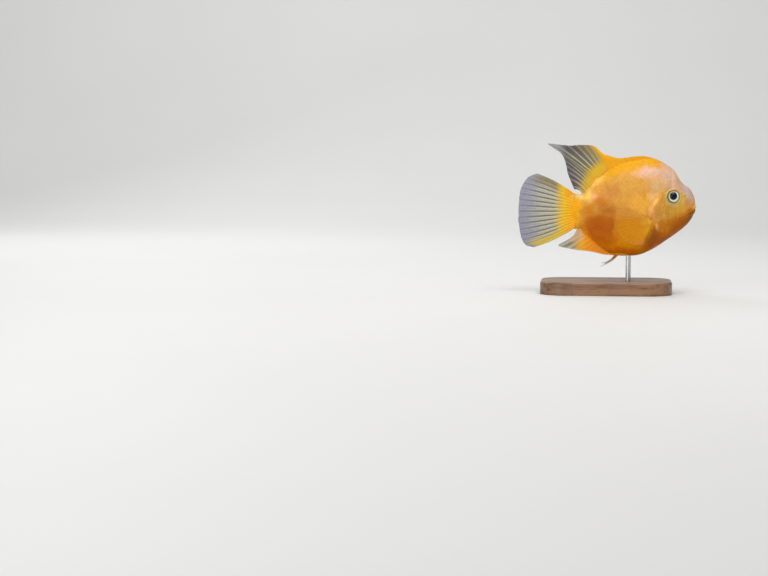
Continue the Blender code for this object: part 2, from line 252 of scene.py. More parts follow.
def relief(x, y, z):
    """How far the hide stands out of the body's plain form."""
    out = -COAT_DEPTH * scaled_share(x, z)
    share, behind, full = gill_shares(x, z)
    on_cover = (share > 0) & (behind < 0)
    out += np.where(on_cover, GILL_RISE * full * ease(share) ** GILL_LATENESS, 0)
    out -= np.where(behind >= 0, full * ridge(behind, *GILL_GROOVE), 0)
    out -= ridge(line_distance(CHEEK_FOLD, x, z), *CHEEK_GROOVE)
    out += ridge(np.hypot(x - CHEEK_SWELL_PLACE[0], (z - CHEEK_SWELL_PLACE[1]) * 0.8), *CHEEK_SWELL)
    out -= ridge(line_distance(JAW_FOLD, x, z), *JAW_GROOVE)
    eye = np.hypot(x - EYE_PLACE[0], z - EYE_PLACE[1])
    wall, rim, groove = SOCKET_RADII
    out += ridge(eye - rim, *SOCKET_RIM) - SOCKET_DEPTH * ease((wall - eye) / 1.2)
    out -= ridge(eye - groove, *SOCKET_GROOVE)
    nostril = np.hypot(x - NOSTRIL_PLACE[0], z - NOSTRIL_PLACE[1])
    out += ridge(nostril - 1.25, *NOSTRIL_RIM) - ridge(nostril, *NOSTRIL_HOLE)
    for turn in PORE_TURNS:
        pore_x = EYE_PLACE[0] + PORE_RADIUS * math.cos(math.radians(turn))
        pore_z = EYE_PLACE[1] + PORE_RADIUS * math.sin(math.radians(turn))
        out -= ridge(np.hypot(x - pore_x, z - pore_z), *PORE)
    lip = lip_height(x, y, z)
    mouth = ease((9.6 - np.abs(y)) / 3) * ease((x - 74) / 3)
    for way, features in ((1, LIPS), (-1, LIP_GROOVES)):
        for level, height, width in features:
            out += way * mouth * ridge(lip - level, height, width)
    out -= ease((9.0 - np.abs(y)) / 1.2) * ease((x - 75) / 2) * ridge(lip, *MOUTH_GROOVE)
    return out


def as_piece(name, data, material, nodes=()):
    """The mesh data as a smooth piece that rides on the model and takes the place of the nodes."""
    data.shade_smooth()
    data.materials.append(material)
    made = new_object(name, data)
    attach(made, "root")
    if nodes:
        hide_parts(*nodes)
    return made


def finished(name, mesh, material, nodes):
    data = bpy.data.meshes.new(name)
    mesh.to_mesh(data)
    mesh.free()
    return as_piece(name, data, material, nodes)


def new_material(name, roughness=0.4, **sockets):
    """A material, its nodes and its Principled shader, with constant sockets set on the shader itself."""
    made = bpy.data.materials.new(name)
    made.use_nodes = True
    shader = made.node_tree.nodes["Principled BSDF"]
    shader.inputs["Roughness"].default_value = roughness
    for socket, value in sockets.items():
        shader.inputs[socket.replace("_", " ")].default_value = value
    return made, made.node_tree, shader


def add(tree, kind, inputs=(), **settings):
    """A node whose inputs are given by place or name, each a value or another node's output."""
    node = tree.nodes.new(kind)
    for name, value in settings.items():
        setattr(node, name, value)
    for key, value in dict(inputs).items():
        if isinstance(value, bpy.types.NodeSocket):
            tree.links.new(value, node.inputs[key])
        else:
            node.inputs[key].default_value = value
    return node


def math_node(tree, operation, first, second=0.0):
    return add(tree, "ShaderNodeMath", {0: first, 1: second}, operation=operation).outputs[0]


def times(tree, first, second):
    return math_node(tree, "MULTIPLY", first, second)


def plus(tree, first, second):
    return math_node(tree, "ADD", first, second)


def larger(tree, first, second):
    return math_node(tree, "MAXIMUM", first, second)


def paint_with(tree, shader, colour):
    tree.links.new(colour, shader.inputs["Base Color"])


def parts_of(tree, vector):
    return add(tree, "ShaderNodeSeparateXYZ", {0: vector}).outputs


def length_of(tree, vector):
    return add(tree, "ShaderNodeVectorMath", {0: vector}, operation="LENGTH").outputs["Value"]


def object_place(tree):
    return add(tree, "ShaderNodeTexCoord").outputs["Object"]


def bumped(tree, shader, height, strength, depth):
    """Fine relief under the shader's gloss, of a depth in millimetres."""
    bump = add(tree, "ShaderNodeBump", {"Height": height, "Strength": strength, "Distance": depth * MM})
    tree.links.new(bump.outputs[0], shader.inputs["Normal"])


def ranged(tree, value, low, high, to_low=0.0, to_high=1.0):
    settings = {"Value": value, "From Min": low, "From Max": high, "To Min": to_low, "To Max": to_high}
    return add(tree, "ShaderNodeMapRange", settings, interpolation_type="SMOOTHSTEP").outputs[0]


def blended(tree, factor, first, second):
    """Colours first and second mixed by factor."""
    node = add(tree, "ShaderNodeMix", {0: factor}, data_type="RGBA")
    for place, colour in ((6, first), (7, second)):
        if isinstance(colour, bpy.types.NodeSocket):
            tree.links.new(colour, node.inputs[place])
        else:
            node.inputs[place].default_value = (*colour, 1)
    return node.outputs[2]


def noise_at(tree, place, scale, detail=3.0, output="Fac"):
    settings = {"Vector": place, "Scale": scale, "Detail": detail}
    return add(tree, "ShaderNodeTexNoise", settings).outputs[output]


# The colours of the hide, as soft marks over an orange ground, each laid over those before it: middle x and
# z, half length and half height, degrees by which its front is raised, the share of it that is solid, its
# strength and its colour. Some marks are painted shade or painted highlights, as noted at each.
GROUND_COLOUR = (0.74, 0.33, 0.05)
MARKS = {
    "lower side": ((14, -28), (62, 28), 0, 0.6, 1.0, (0.72, 0.25, 0.0)),
    "head": ((68, 0), (22, 27), 0, 0.4, 0.95, (0.63, 0.31, 0.04)),
    "low head": ((67, -18), (27, 17), 42, 0.3, 1.0, (0.53, 0.15, 0.0)),
    "upper flank": ((22, 28), (38, 18), -4, 0.3, 0.9, (0.70, 0.335, 0.06)),
    "middle flank": ((33, 6), (19, 14), 0, 0.2, 0.9, (0.90, 0.43, 0.05)),
    "rosy flank": ((3, 15), (14, 8), 20, 0.1, 0.8, (0.74, 0.29, 0.065)),
    "rosy shoulder": ((42, 36.5), (28, 10), -14, 0.1, 0.95, (0.78, 0.46, 0.31)),
    "rosy nape": ((60, 33), (24, 17), -42, 0.2, 1.0, (0.70, 0.43, 0.29)),
    "lower nape": ((56, 21), (13, 6), -30, 0.1, 0.8, (0.70, 0.40, 0.14)),
    "pale shoulder": ((46, 24), (13, 8), -10, 0.2, 0.8, (0.69, 0.43, 0.19)),
    "brow": ((67, 27), (9.5, 4.5), -50, 0.1, 0.75, (0.53, 0.335, 0.18)),
    "rear flank": ((-3, 7), (19, 11), -8, 0.0, 0.85, (0.52, 0.145, 0.0)),
    "burnt belly": ((-5, -18), (24, 19), -45, 0.35, 1.0, (0.52, 0.12, 0.0)),
    "burnt top": ((-6, -12), (20, 13), -20, 0.0, 0.9, (0.46, 0.10, 0.0)),
    "burnt edge": ((1, 0), (13, 6.5), 0, 0.1, 0.8, (0.42, 0.12, 0.0)),
    "anal base": ((-18, -22), (11, 5), -55, 0.0, 0.85, (0.80, 0.29, 0.0)),
    "dusky flank": ((6, 20), (14, 11), -10, 0.1, 0.7, (0.56, 0.215, 0.03)),
    "ochre side": ((24, -20), (19, 17), 0, 0.4, 0.9, (0.78, 0.30, 0.0)),
    "brown edge": ((5, -10), (6, 15), -5, 0.1, 0.7, (0.50, 0.11, 0.0)),
    "gold side": ((38, -17), (6, 11), 20, 0.1, 0.95, (0.92, 0.47, 0.004)),
    "gold front": ((35, -9), (9, 6), 0, 0.2, 0.8, (0.98, 0.51, 0.03)),
    # Painted shade over the belly's own deeper orange: the low belly is darkened as the light falls from
    # above.
    "low belly": ((16, -38), (34, 7.5), 0, 0.2, 0.9, (0.58, 0.135, 0.0)),
    "belly line": ((12, -42.6), (30, 2.4), 0, 0.3, 0.9, (0.98, 0.56, 0.05)),
    # Painted shade: the throat under the head is painted dark brown-red as the shadow there.
    "throat": ((43.5, -26), (19, 9), 62, 0.2, 0.95, (0.33, 0.08, 0.006)),
    "shade on low throat": ((54, -26), (15, 8.5), 28, 0.1, 0.95, (0.36, 0.08, 0.0)),
    "throat spot": ((32, -30), (5, 4), 0, 0.1, 0.8, (0.62, 0.27, 0.06)),
    "gill rear": ((47, -2), (6, 13), 0, 0.2, 0.9, (0.65, 0.28, 0.055)),
    "gill low": ((54, -13), (10, 7), 20, 0.2, 0.85, (0.57, 0.17, 0.002)),
    "gill rim": ((47.6, -13.5), (7.5, 2.3), -68, 0.1, 0.8, (0.86, 0.43, 0.14)),
    "gold spot": ((41.4, -8.7), (2.7, 2.3), 0, 0.1, 0.85, (0.97, 0.58, 0.10)),
    "brown spot": ((46.3, -10.4), (1.9, 1.7), 0, 0.1, 0.6, (0.36, 0.11, 0.015)),
    "rosy cover": ((42.4, 2), (4, 8), 0, 0.1, 0.8, (0.95, 0.48, 0.18)),
    "pale streak": ((43, 15), (8, 7), 0, 0.2, 0.8, (0.94, 0.50, 0.19)),
    "gold streak": ((45.2, 10.4), (8, 3.0), 56, 0.1, 0.9, (0.98, 0.60, 0.15)),
    # Painted shade in a fold of the flank behind the gill cover.
    "shade in fold": ((35, 12.5), (8, 3.0), -75, 0.1, 0.7, (0.70, 0.32, 0.01)),
    "cheek": ((60, 1), (10, 8), 0, 0.1, 0.7, (0.64, 0.34, 0.03)),
    "low cheek": ((66, -9), (15, 7), 40, 0.1, 0.9, (0.52, 0.15, 0.0)),
    # Painted shade: the chin, the chin's tip and the jaw under the lower lip are darkened as the shadow under
    # the head.
    "chin": ((73, -11), (23, 9), 45, 0.2, 1.0, (0.38, 0.095, 0.0)),
    "shade on chin tip": ((80.5, -4.5), (11, 6), 45, 0.0, 0.85, (0.24, 0.08, 0.0)),
    "jaw": ((78, 1.5), (6, 4.5), 30, 0.1, 0.85, (0.42, 0.12, 0.004)),
    "side of snout": ((75, 9), (7.5, 7), 0, 0.1, 0.9, (0.57, 0.25, 0.075)),
    # Painted highlight: the lilac over the top of the snout.
    "highlight on top of snout": ((76, 19.5), (15, 10), -52, 0.2, 1.0, (0.49, 0.35, 0.30)),
    "around the eye": ((63.5, 13.5), (12, 10.5), 0, 0.5, 0.8, (0.59, 0.40, 0.085)),
    "behind the eye": ((56, 11), (4, 5.5), 0, 0.1, 0.6, (0.44, 0.36, 0.12)),
    "under the eye": ((60.5, 6.5), (7, 4.2), -15, 0.1, 0.8, (0.50, 0.41, 0.20)),
    # Painted highlight on the upper lip.
    "highlight on upper lip": ((84.2, 5.6), (3.0, 3.0), 0, 0.0, 0.85, (0.82, 0.64, 0.48)),
    "stalk": ((-32, 0), (14, 25), 0, 0.35, 0.95, (0.92, 0.40, 0.0)),
    "front of stalk": ((-17, 1), (10, 11), 0, 0.1, 0.8, (0.60, 0.18, 0.0)),
    # Painted highlight along the top of the tail stalk.
    "highlight on top of stalk": ((-26, 14.5), (10, 5), -5, 0.1, 0.95, (0.86, 0.60, 0.17)),
    "tail root": ((-40, 0), (10, 24), 0, 0.2, 0.9, (0.76, 0.42, 0.0)),
    "pale stalk": ((-17.5, 14.5), (7, 9.5), 0, 0.2, 0.85, (0.94, 0.62, 0.13)),
    "rosy stalk": ((-11.5, 13), (6.5, 7), 0, 0.0, 0.8, (0.95, 0.47, 0.18)),
    # Painted highlight: a pale golden streak along the ridge of the back, below the dorsal's sheath.
    "highlight on rear back": ((-9, 29), (18, 6), 42, 0.1, 0.9, (0.96, 0.58, 0.12)),
}
BACK_COLOUR = (0.76, 0.335, 0.0)
BACK_FROM = -40
BACK_LENGTH = 130
BACK_HIGHEST = 60
MARK_DRIFT = 12
IGNORE_ACROSS = 10.0


def vector_math(tree, operation, first, second, place=1):
    return add(tree, "ShaderNodeVectorMath", {0: first, place: second}, operation=operation).outputs[0]


def scaled(tree, vector, factor):
    return vector_math(tree, "SCALE", vector, factor, 3)


def ellipse_distance(tree, place, middle, half, turn):
    """Distance from a flat ellipse's middle in shares of its half sizes, 1 on its rim."""
    settings = {"Vector": place, "Location": middle, "Scale": half, "Rotation": turn}
    return length_of(tree, add(tree, "ShaderNodeMapping", settings, vector_type="TEXTURE").outputs[0])


def hide_colour_and_painted_light(tree, place):
    """The hide's colour at an object's own place, the same on both sides of the fish. Some of its marks are
    painted shade and painted highlights.
    """
    noise = noise_at(tree, place, 55.0, output="Color")
    drift = vector_math(tree, "SUBTRACT", noise, (0.5, 0.5, 0.5))
    spot = vector_math(tree, "ADD", place, scaled(tree, drift, MARK_DRIFT * MM))
    colour = GROUND_COLOUR
    for (x, z), (half_x, half_z), turn, solid, strength, mark in MARKS.values():
        middle = (x * MM, 0, z * MM + AXIS_HEIGHT)
        half = (half_x * MM, IGNORE_ACROSS, half_z * MM)
        far = ellipse_distance(tree, spot, middle, half, (0, -math.radians(turn), 0))
        colour = blended(tree, ranged(tree, far, 1.0, solid, 0.0, strength), colour, mark)
    return back_band(tree, spot, colour)


def back_band(tree, place, colour):
    """The amber band that follows the back's own curve."""
    x, _, z = parts_of(tree, place)
    settings = {"Value": x, "From Min": BACK_FROM * MM, "From Max": (BACK_FROM + BACK_LENGTH) * MM}
    curve = add(tree, "ShaderNodeFloatCurve", {"Value": add(tree, "ShaderNodeMapRange", settings).outputs[0]})
    points = curve.mapping.curves[0].points
    for share in (0.1, 0.3, 0.4, 0.5, 0.6, 0.7, 0.8, 0.9):
        points.new(share, 0.5)
    for point in points:
        point.location.y = body_at_x(BACK_FROM + BACK_LENGTH * point.location.x)[0] / BACK_HIGHEST
    curve.mapping.update()
    back = plus(tree, times(tree, curve.outputs[0], BACK_HIGHEST * MM), AXIS_HEIGHT)
    depth = math_node(tree, "SUBTRACT", back, z)
    fore = ranged(tree, x, 0.056, 0.043)
    behind = ranged(tree, x, -0.006, 0.006)
    band = times(tree, ranged(tree, depth, 0.0115, 0.0045), behind)
    band = larger(tree, band, ranged(tree, depth, 0.001, -0.001))
    return blended(tree, times(tree, band, fore), colour, BACK_COLOUR)


def flesh_material(name, fine_scale, fine_depth, finish=None):
    """Wet hide: the marks and a slight mottle over a fine grain, under a thin gloss. Finish may add to it, as
    the scales' paler free edges and their painted shade do.
    """
    made, tree, shader = new_material(
        name, Specular_IOR_Level=0.1, Coat_Weight=0.04, Coat_Roughness=0.2, Subsurface_Weight=0.08,
        Subsurface_Scale=0.003)
    shader.inputs["Subsurface Radius"].default_value = (1.0, 0.45, 0.15)
    place = object_place(tree)
    colour = hide_colour_and_painted_light(tree, place)
    mottle = noise_at(tree, place, 260.0, 5.0)
    colour = scaled(tree, colour, ranged(tree, mottle, 0.3, 0.7, 0.93, 1.07))
    if finish:
        colour = finish(tree, colour)
    paint_with(tree, shader, colour)
    tree.links.new(ranged(tree, mottle, 0.2, 0.8, 0.38, 0.52), shader.inputs["Roughness"])
    bumped(tree, shader, noise_at(tree, place, fine_scale, 4.0), 0.5, fine_depth)
    return made


skin_mesh = bmesh.new()
bmesh.ops.create_uvsphere(skin_mesh, u_segments=SKIN_AROUND, v_segments=SKIN_RINGS, radius=1)
unwrap = {}
last_place = len(BODY) - 1
for vert in skin_mesh.verts:
    ring = round(math.acos(max(-1, min(1, vert.co.z))) * SKIN_RINGS / math.pi)
    angle = math.atan2(vert.co.y, vert.co.x)
    share = ring / SKIN_RINGS
    pole = ring in (0, SKIN_RINGS)
    unwrap[vert.index] = (share, None if pole else (angle + math.pi / 2) / (2 * math.pi) % 1)
    x, back, belly, _ = body_at(share * last_place)
    vert.co = placed(x, 0, widest(back, belly)) if pole else around_body(share * last_place, angle)
bmesh.ops.recalc_face_normals(skin_mesh, faces=skin_mesh.faces[:])
skin_mesh.normal_update()
points = np.array([vert.co for vert in skin_mesh.verts]) / MM
rises = relief(points[:, 0], points[:, 1], points[:, 2] - AXIS_HEIGHT / MM)
for vert, normal, rise in zip(skin_mesh.verts, [vert.normal.copy() for vert in skin_mesh.verts], rises):
    vert.co += normal * float(rise) * MM
skin_mesh.normal_update()
skin_map = skin_mesh.loops.layers.uv.new("OFBake")
for face in skin_mesh.faces:
    rounds = [unwrap[vert.index][1] for vert in face.verts]
    known = [turn for turn in rounds if turn is not None]
    over_seam = max(known) - min(known) > 0.5
    known = [turn + 1 if over_seam and turn < 0.5 else turn for turn in known]
    for loop, turn in zip(face.loops, rounds):
        turn = sum(known) / len(known) if turn is None else turn + 1 if over_seam and turn < 0.5 else turn
        loop[skin_map].uv = (unwrap[loop.vert.index][0], turn)
skin_tree = BVHTree.FromBMesh(skin_mesh)
finished(
    "skin", skin_mesh, flesh_material("hide", 1400.0, 0.12),
    ("head", "trunk", "tail_stalk", "gill_cover_left", "gill_cover_right"))

# The scales: thin horny plates that lie over one another like tiles, each rooted in the hide in front and
# free behind, in slanting rows. They shrink towards the tail and are smallest on cheeks and gill covers.
SIDES = (("left", 1), ("right", -1))
SCALE_CORNERS = 12
TRUNK_ROWS = 20
HEAD_ROWS = 26
TRUNK_STEP = 2.3
HEAD_STEP = 1.7
FIRST_SCALES = 66.5
LAST_SCALES = -33.0
SCALE_THICKNESS = 0.1
TRUNK_LIFT = 0.2
HEAD_LIFT = 0.1
SCALE_OVERLAP = 1.34
LINE_ROWS = (5, 10)
LINE_BREAK = -4.0
HEAD_END = 42.5
BARE_SHARE = 0.03
LONE_SCALES = ((39.9, 2.9), (52.9, 6.2))
LONE_REACH = 1.6
GIRTH_STEPS = 121
random.seed(7)


def scale_shape(tube=0.0):
    """One plate of unit size: root at -X, free edge at +X, crowned a little, its edge thin. A plate of the
    lateral line has a raised tube along its middle."""
    mesh = bmesh.new()
    bmesh.ops.create_circle(mesh, cap_ends=True, cap_tris=True, segments=SCALE_CORNERS, radius=1)
    bmesh.ops.inset_region(mesh, faces=mesh.faces[:], thickness=0.3, use_even_offset=False)
    for vert in mesh.verts:
        far = vert.co.xy.length
        vert.co.z = 0.16 * (1 - far ** 2)
        if abs(vert.co.y) < 0.1 and far < 0.9:
            vert.co.z += tube
        if vert.co.x < 0:
            vert.co.y *= 1 - 0.25 * vert.co.x ** 2
    made = bmesh.ops.extrude_face_region(mesh, geom=mesh.faces[:])["geom"]
    for item in made:
        if isinstance(item, bmesh.types.BMVert):
            item.co.z += 0.1
    bmesh.ops.recalc_face_normals(mesh, faces=mesh.faces[:])
    mesh.verts.ensure_lookup_table()
    points = np.array([vert.co for vert in mesh.verts])
    faces = [[vert.index for vert in face.verts] for face in mesh.faces]
    mesh.free()
    return points, faces


def place_at_x(x):
    return float(np.interp(x, body_samples[:, 0], body_places))


def half_girth(place):
    """The skin's length from the middle of the back down to each of some angles, ending under the belly."""
    turns = np.linspace(math.pi / 2, -math.pi / 2, GIRTH_STEPS)
    ring = [around_body(place, turn) for turn in turns]
    return turns, np.cumsum([0] + [(b - a).length for a, b in zip(ring, ring[1:])])


def scale_places(side):
    """Where one side's scales are rooted: point, way to the next column, height, unwrap, lift and whether the
    lateral line runs through it. Rows follow the body from head to tail."""
    x = FIRST_SCALES
    column = 0
    while x > LAST_SCALES:
        on_head = x > HEAD_END
        rows = HEAD_ROWS if on_head else TRUNK_ROWS
        place = place_at_x(x)
        turns, lengths = half_girth(place)
        tall = lengths[-1] / rows
        step = HEAD_STEP if on_head else TRUNK_STEP * min(1.0, 0.4 + 0.6 * tall / (MM * 5.0))
        for row in range(rows):
            share = (row + (0.5 if column % 2 else 0.0)) / rows
            angle = float(np.interp(share, lengths / lengths[-1], turns))
            angle = angle if side > 0 else math.pi - angle
            point = around_body(place, angle)
            if keeps_scale(x, (point.z - AXIS_HEIGHT) / MM, share):
                turn = (angle + math.pi / 2) / (2 * math.pi) % 1
                onward = around_body(place_at_x(x - step), angle) - point
                lift = HEAD_LIFT if on_head else TRUNK_LIFT
                line_row = LINE_ROWS[0 if x > LINE_BREAK else 1]
                on_line = not on_head and row == line_row and column % 2 == 0
                yield point, onward, tall, (place / last_place, turn), lift, on_line
        x -= step
        column += 1


def keeps_scale(x, z, share):
    """False on the gill cover's bare rim, round the eye, along the cheek's fold, on bare skin and on the
    middle lines of back and belly."""
    here = np.array(x), np.array(z)
    _, behind, full = (float(value) for value in gill_shares(*here))
    if full > 0.1 and -3.0 < behind < 1.4:
        return False
    if math.dist((x, z), EYE_PLACE) < 9.4:
        return False
    if float(line_distance(CHEEK_FOLD, *here)) < 1.7 and z > -20:
        return False
    if any(math.dist((x, z), lone) < LONE_REACH for lone in LONE_SCALES):
        return False
    return float(scaled_share(*here)) > 0.5 and BARE_SHARE < share < 1 - BARE_SHARE


def lay_scales(name, side, plain, pored, material):
    all_points, all_faces, all_patches, all_plates = [], [], [], []
    for point, onward, tall, patch, lift, on_line in scale_places(side):
        verts, faces = pored if on_line else plain
        ground, outward, _, _ = skin_tree.find_nearest(point)
        backward = (onward - outward * onward.dot(outward)).normalized()
        upward = outward.cross(backward)
        size = random.uniform(0.97, 1.04)
        half_tall = tall * 0.6 * size
        half_long = onward.length * SCALE_OVERLAP * size
        lean = math.asin(min(0.5, lift * MM / half_long)) * random.uniform(0.85, 1.1)
        plate = Matrix((backward, upward, outward)).transposed() @ Matrix.Rotation(-lean, 3, "Y")
        stretch = np.array((half_long, half_tall, min(SCALE_THICKNESS * 10 * MM, half_long * 0.8)))
        offset = np.array(ground + backward * half_long * 0.55 + outward * 0.05 * MM)
        all_faces += [[index + len(all_points) * len(verts) for index in face] for face in faces]
        all_points.append(verts * stretch @ np.array(plate).T + offset)
        all_patches.append(np.array(patch) + verts[:, :2] * 0.0014)
        all_plates.append(verts[:, :2])
    data = bpy.data.meshes.new(name)
    data.from_pydata(np.concatenate(all_points).tolist(), [], all_faces)
    corners = np.empty(len(data.loops), int)
    data.loops.foreach_get("vertex_index", corners)
    for map_name, spots in (("OFBake", all_patches), ("Plate", all_plates)):
        unwrapped = data.uv_layers.new(name=map_name)
        unwrapped.data.foreach_set("uv", np.concatenate(spots)[corners].ravel())
    as_piece(name, data, material)
    data.set_sharp_from_angle(angle=math.radians(50))


def scale_edge_and_painted_shade(tree, colour):
    """Each scale is a little paler at its thin free edge, and darker in front with painted shade, where the
    next one lies over it.
    """
    plate = add(tree, "ShaderNodeUVMap", uv_map="Plate").outputs[0]
    along_plate = parts_of(tree, plate)[0]
    rim = times(tree, ranged(tree, length_of(tree, plate), 0.74, 0.98), ranged(tree, along_plate, 0.0, 0.5))
    colour = scaled(tree, colour, ranged(tree, rim, 0.0, 1.0, 1.0, 1.1))
    # Painted shade: darker towards the root, where the next scale covers it.
    return scaled(tree, colour, ranged(tree, along_plate, 0.35, -0.2, 1.0, 0.9))


scale_look = flesh_material("scale_horn", 2600.0, 0.05, scale_edge_and_painted_shade)
plain_scale = scale_shape()
pored_scale = scale_shape(0.16)
for scale_word, scale_side in SIDES:
    lay_scales("scales_" + scale_word, scale_side, plain_scale, pored_scale, scale_look)

# The eyes: flattened globes under a wet gloss, with a silvery iris between an olive inner line and a grey
# green rim, and a navy pupil that swells a little. The grey green rim and the darker top of the iris are
# painted shade from the socket's edge. They sit sunk in their sockets.
EYE_RADIUS = 5.6
EYE_HALF_DEPTH = 3.3
EYE_SUNK = 1.1
PUPIL_MIDDLE = (-0.16, 0.13, 0.0)
PUPIL_HALF = (0.61, 0.68, 1.0)
PUPIL_TURN = (0, 0, -math.radians(20))
PUPIL_COLOUR = (0.003, 0.006, 0.016)


def outward_at(x, z):
    step = 0.4
    slope_x = (flank(x + step, z) - flank(x - step, z)) / (2 * step)
    slope_z = (flank(x, z + step) - flank(x, z - step)) / (2 * step)
    return Vector((-slope_x, 1, -slope_z)).normalized()


def eye_material():
    """Colours over the eye's disc, whose x runs forward and y up on both eyes."""
    made, tree, shader = new_material(
        "eye", 0.2, Specular_IOR_Level=0.12, Coat_Weight=0.2, Coat_Roughness=0.03)
    disc = add(tree, "ShaderNodeUVMap", uv_map="Iris").outputs[0]
    far = length_of(tree, disc)
    x, y, _ = parts_of(tree, disc)
    turn = times(tree, math_node(tree, "ARCTAN2", y, x), 9.0)
    spokes = add(tree, "ShaderNodeCombineXYZ", {0: turn, 1: far}).outputs[0]
    streak = noise_at(tree, spokes, 3.0, 4.0)
    ragged = ranged(tree, streak, 0.3, 0.7, -0.02, 0.02)
    rim = plus(tree, far, ragged)
    inner = plus(tree, ellipse_distance(tree, disc, PUPIL_MIDDLE, PUPIL_HALF, PUPIL_TURN), ragged)
    iris = blended(tree, ranged(tree, streak, 0.35, 0.7), (0.70, 0.75, 0.66), (0.93, 0.97, 0.93))
    # Painted shade: the iris darkens towards its top, under the socket's upper edge.
    iris = blended(tree, ranged(tree, y, 0.35, 0.95, 0.0, 0.4), iris, (0.42, 0.42, 0.30))
    # Painted shade: a grey green ring round the iris's edge, where the socket shades it.
    iris = blended(tree, ranged(tree, rim, 0.80, 0.92), iris, (0.26, 0.31, 0.17))
    iris = blended(tree, ranged(tree, rim, 0.95, 1.0), iris, (0.30, 0.22, 0.06))
    iris = blended(tree, ranged(tree, inner, 1.12, 1.02), iris, (0.42, 0.42, 0.24))
    colour = blended(tree, ranged(tree, inner, 1.03, 0.95), iris, PUPIL_COLOUR)
    paint_with(tree, shader, colour)
    bumped(tree, shader, streak, 0.2, 0.08)
    return made


def make_eye(word, side, material):
    out = outward_at(*EYE_PLACE)
    middle = Vector((EYE_PLACE[0], flank(*EYE_PLACE), EYE_PLACE[1])) - out * EYE_SUNK
    out.y *= side
    turn = out.to_track_quat("Z", "Y").to_matrix().to_4x4()
    mesh = bmesh.new()
    bmesh.ops.create_uvsphere(mesh, u_segments=72, v_segments=48, radius=1)
    iris_map = mesh.loops.layers.uv.new("Iris")
    discs = {}
    for vert in mesh.verts:
        far = vert.co.xy.length
        spot = vert.co.xy * (1.0 if vert.co.z > 0 else 1.0 / max(far, 0.3))
        discs[vert.index] = (-side * spot.x, spot.y)
        if vert.co.z > 0:
            vert.co.z += 0.1 * float(ease((0.72 - far) / 0.3))
    for face in mesh.faces:
        for loop in face.loops:
            loop[iris_map].uv = discs[loop.vert.index]
    size = Matrix.Diagonal((EYE_RADIUS * MM, EYE_RADIUS * MM, EYE_HALF_DEPTH * MM, 1))
    mesh.transform(Matrix.Translation(placed(middle.x, side * middle.y, middle.z)) @ turn @ size)
    finished("eyeball_" + word, mesh, material, ("eye_" + word,))


eye_look = eye_material()
for eye_word, eye_side in SIDES:
    make_eye(eye_word, eye_side, eye_look)

# The fins on the middle line: a thin membrane stretched over hard spines in front and branched, jointed
# soft rays behind, rising out of a fleshy root with the hide's own colour.
MEMBRANE = 0.26
RAY_RISE = 0.3
RAY_COLUMNS = 12
FRAYING = 0.018
DORSAL = ((47.2, 46.8, 49.3), (39.5, 36.5, 52.1), (32.5, 28.0, 52.2), (25.0, 19.0, 51.1), (17.0, 10.5, 50.4),
          (11.0, 2.5, 52.7), (6.5, -4.5, 55.4), (2.5, -11.5, 61.6), (-1.5, -22.0, 63.3), (-4.7, -36.0, 62.6),
          (-7.8, -56.5, 64.4), (-10.6, -44.5, 55.5), (-13.8, -39.4, 45.0), (-17.6, -36.6, 33.5),
          (-22.5, -31.0, 20.5))
DORSAL_RAYS = 27
DORSAL_SPINES = 14
DORSAL_BOW = 2.0
SHEATH_MIDDLE = (-9.5 * MM, 0.0, 35 * MM + AXIS_HEIGHT)
SHEATH_HALF = (22 * MM, IGNORE_ACROSS, 8.5 * MM)
SHEATH_TURN = (0, -math.radians(50), 0)
ANAL = ((9.5, 8.8, -42.3), (5.5, 2.8, -42.0), (1.5, -3.5, -41.4), (-3.0, -10.5, -39.8), (-7.5, -18.5, -38.6),
        (-11.5, -27.0, -37.9), (-15.5, -36.0, -36.3), (-19.0, -45.8, -33.4), (-22.0, -38.0, -28.8),
        (-24.5, -31.8, -24.6), (-27.0, -29.0, -20.2))
ANAL_RAYS = 14
ANAL_SPINES = 6
TAIL_EDGE = ((-66.9, 35.6), (-75.5, 31.8), (-80.9, 24.0), (-83.7, 14.5), (-84.9, 4.5), (-84.8, -6.0),
             (-83.7, -16.5), (-81.5, -26.0), (-77.5, -33.0), (-70.5, -35.6))
TAIL_ROOT = (-30.0, 16.1, -16.5)
TAIL_BOW = 2.0
TAIL_SWEEP = 3.0
TAIL_RAYS = 16
ROOT_SUNK = 2.0


def strands(cell, out, branched):
    """How high a ray stands at a share of its strip from -0.5 to 0.5. It splits in two and then in four."""
    if not branched:
        return math.exp(-(cell / (0.2 - 0.1 * out)) ** 2)
    first = 0.21 * float(ease((out - 0.36) / 0.5))
    second = 0.085 * float(ease((out - 0.72) / 0.28))
    thin = 0.15 - 0.085 * out
    heights = [math.exp(-((cell - a * first - b * second) / thin) ** 2) for a in (-1, 1) for b in (-1, 1)]
    overlap = (2.1 if second > 0.01 else 1.0) * (2 if first < 0.03 else 1)
    return min(1.0, sum(heights) / overlap)


